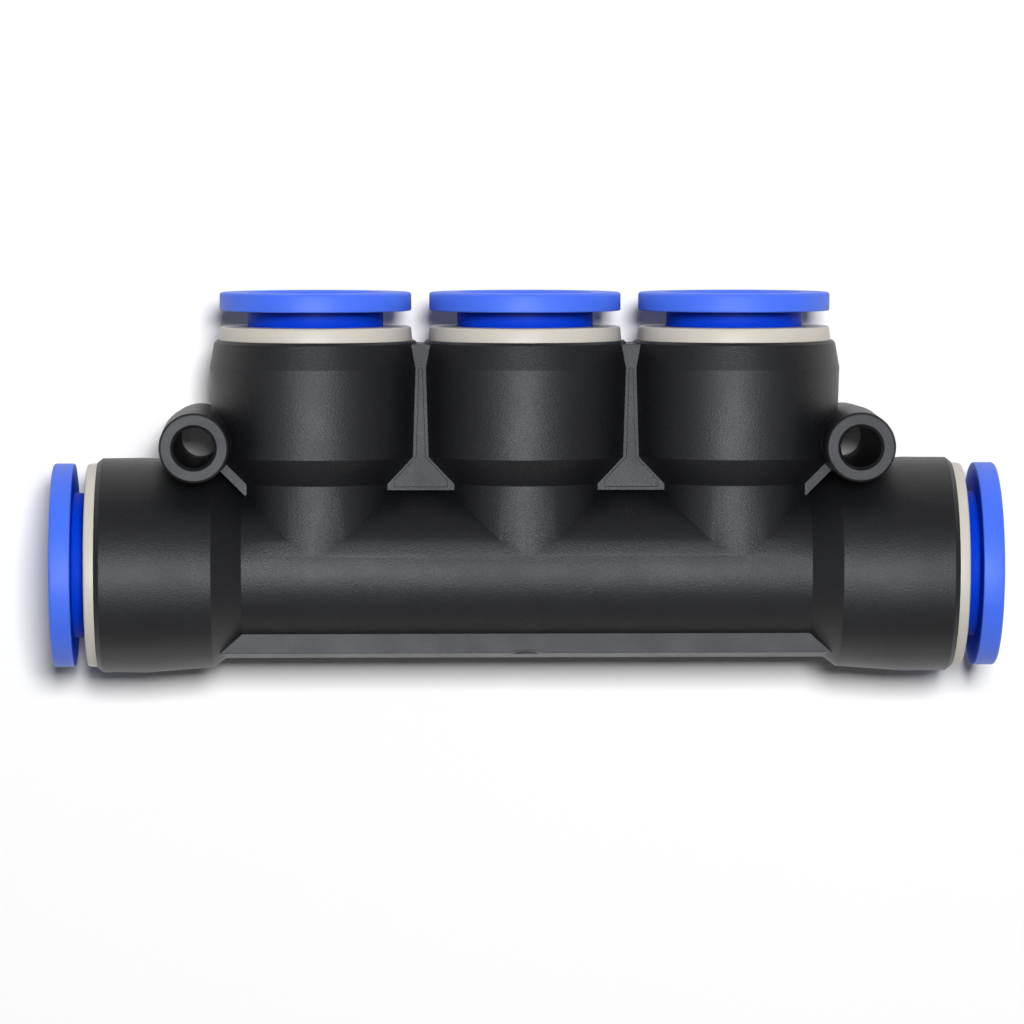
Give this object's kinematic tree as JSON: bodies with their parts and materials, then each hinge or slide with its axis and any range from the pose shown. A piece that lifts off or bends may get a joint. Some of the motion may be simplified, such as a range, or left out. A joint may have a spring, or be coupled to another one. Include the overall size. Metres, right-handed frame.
{
  "type": "push-in air tube manifold",
  "caption": "Black moulded push-in tube manifold: run ports at both ends, a row of branch ports along one side, blue release collars, pale retaining rings and screw bosses at the sides.",
  "frame": {"origin": "midway between the two screw holes, on the surface that the bosses rest on", "axes": "+X along the run ports, +Y out of the branch ports, +Z away from the mounting surface"},
  "size_m": [0.095, 0.0384, 0.0217],
  "materials": {
    "body_black": "fine matt texture, glass-filled",
    "collar_blue": "satin moulded",
    "ring_beige": "satin moulded",
    "claw_steel": "stamped spring steel",
    "support_plastic": "satin moulded",
    "seal_rubber": "matt moulded"
  },
  "bodies": {
    "manifold": {"body": "body_black", "retaining_ring_run_left": "ring_beige", "retaining_ring_run_right": "ring_beige", "retaining_ring_branch_left": "ring_beige", "retaining_ring_branch_middle": "ring_beige", "retaining_ring_branch_right": "ring_beige", "claw_ring_run_left": "claw_steel", "claw_ring_run_right": "claw_steel", "claw_ring_branch_left": "claw_steel", "claw_ring_branch_middle": "claw_steel", "claw_ring_branch_right": "claw_steel", "support_ring_run_left": "support_plastic", "support_ring_run_right": "support_plastic", "support_ring_branch_left": "support_plastic", "support_ring_branch_middle": "support_plastic", "support_ring_branch_right": "support_plastic", "seal_ring_run_left": "seal_rubber", "seal_ring_run_right": "seal_rubber", "seal_ring_branch_left": "seal_rubber", "seal_ring_branch_middle": "seal_rubber", "seal_ring_branch_right": "seal_rubber"},
    "collar_run_left": {"release_collar_run_left": "collar_blue"},
    "collar_run_right": {"release_collar_run_right": "collar_blue"},
    "collar_branch_left": {"release_collar_branch_left": "collar_blue"},
    "collar_branch_middle": {"release_collar_branch_middle": "collar_blue"},
    "collar_branch_right": {"release_collar_branch_right": "collar_blue"}
  },
  "joints": [
    {"name": "release_run_left", "type": "slide", "parent": "manifold", "child": "collar_run_left", "axis": [1, 0, 0], "range_m": [0, 0.0011], "stiffness_N_per_m": 300},
    {"name": "release_run_right", "type": "slide", "parent": "manifold", "child": "collar_run_right", "axis": [-1, 0, 0], "range_m": [0, 0.0011], "stiffness_N_per_m": 300},
    {"name": "release_branch_left", "type": "slide", "parent": "manifold", "child": "collar_branch_left", "axis": [0, -1, 0], "range_m": [0, 0.00135], "stiffness_N_per_m": 300},
    {"name": "release_branch_middle", "type": "slide", "parent": "manifold", "child": "collar_branch_middle", "axis": [0, -1, 0], "range_m": [0, 0.00135], "stiffness_N_per_m": 300},
    {"name": "release_branch_right", "type": "slide", "parent": "manifold", "child": "collar_branch_right", "axis": [0, -1, 0], "range_m": [0, 0.00135], "stiffness_N_per_m": 300}
  ]
}
